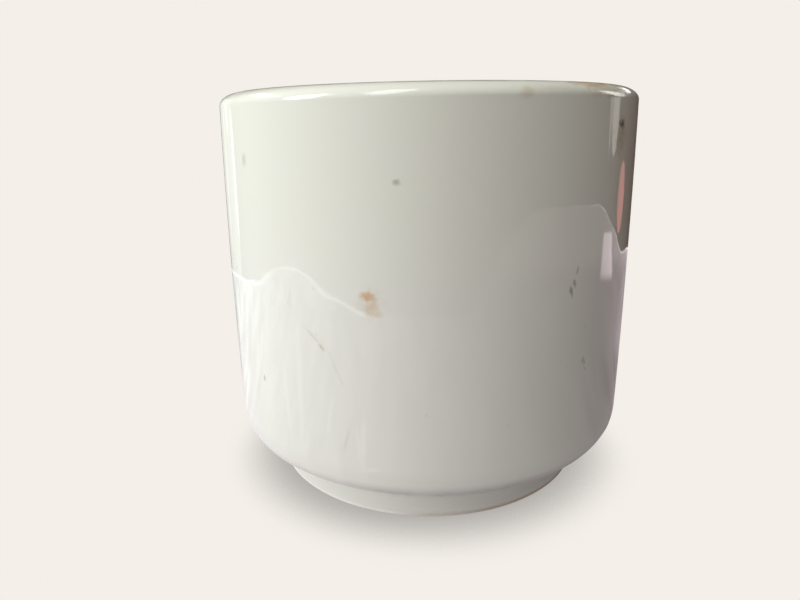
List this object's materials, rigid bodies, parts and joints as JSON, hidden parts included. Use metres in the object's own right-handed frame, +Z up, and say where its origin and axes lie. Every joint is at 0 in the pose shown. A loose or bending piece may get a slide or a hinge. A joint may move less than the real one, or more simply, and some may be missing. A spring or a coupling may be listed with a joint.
{
  "type": "mortar and pestle",
  "caption": "Straight-sided glazed porcelain mortar on a foot ring, with a short wooden-handled porcelain pestle stowed inside below the rim.",
  "frame": {"origin": "on the mortar's axis, in the plane of the foot ring's standing face", "axes": "+Z up along the mortar's axis; the stowed pestle leans towards +X, and the usual view looks along +Y"},
  "size_m": [0.1208, 0.1208, 0.113],
  "materials": {
    "bare_porcelain": "matt unglazed",
    "white_glaze": "glossy",
    "cement": "matt",
    "handle_wood": "oiled, worn"
  },
  "bodies": {
    "mortar": {"mortar_body": "bare_porcelain", "outer_glaze": "white_glaze", "recess_glaze": "white_glaze"},
    "pestle": {"pestle_head": "bare_porcelain", "neck_glaze": "white_glaze", "socket_cement": "cement", "handle": "handle_wood"}
  },
  "joints": [
    {"name": "pestle_lift", "type": "slide", "parent": "mortar", "child": "pestle", "axis": [0, 0, 1], "range_m": [0, 0.12]}
  ]
}
